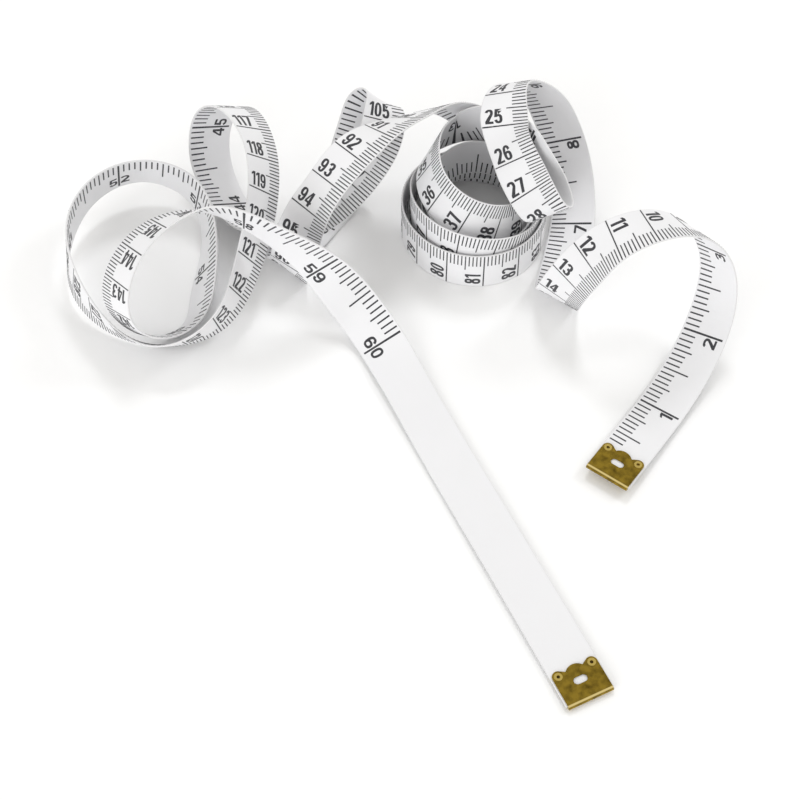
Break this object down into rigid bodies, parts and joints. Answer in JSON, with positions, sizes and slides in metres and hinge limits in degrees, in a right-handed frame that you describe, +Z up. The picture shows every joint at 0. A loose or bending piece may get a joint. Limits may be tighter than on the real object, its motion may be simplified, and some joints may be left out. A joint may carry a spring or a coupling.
{
  "type": "cloth tape measure",
  "caption": "Soft white cloth tape measure lying in loose loops and a standing coil, with inch and centimetre scales and a folded brass clip eyeleted on each end.",
  "frame": {"origin": "centre of the laid-out tape's bounding box, on the surface it lies on", "axes": "+Z up from the surface, +X to the right and +Y away in the picture's view, the tail end pointing to -Y"},
  "size_m": [0.1824, 0.1764, 0.044],
  "materials": {
    "tape_cloth": "coated white cloth, satin",
    "clip_brass": "brushed",
    "eyelet_brass": "polished"
  },
  "bodies": {
    "tape": {"right_arch": "tape_cloth", "back_hoop": "tape_cloth", "coil": "tape_cloth", "crossing_loop": "tape_cloth", "left_loop": "tape_cloth", "side_ring": "tape_cloth", "run_out": "tape_cloth"},
    "start_end": {"start_stretch": "tape_cloth", "start_clip": "clip_brass", "start_eyelet_left": "eyelet_brass", "start_eyelet_right": "eyelet_brass"},
    "tail_end": {"tail_leader": "tape_cloth", "tail_clip": "clip_brass", "tail_eyelet_left": "eyelet_brass", "tail_eyelet_right": "eyelet_brass"}
  },
  "joints": [
    {"name": "start_lift", "type": "hinge", "parent": "tape", "child": "start_end", "pos_m": [0.08134, 0.01379, 0.00493], "axis": [-0.8239, 0.5432, -0.1616], "range_deg": [0, 40]},
    {"name": "tail_lift", "type": "hinge", "parent": "tape", "child": "tail_end", "pos_m": [0.02573, -0.04114, 0.0013], "axis": [-0.899, -0.438, 0], "range_deg": [0, 70]}
  ]
}
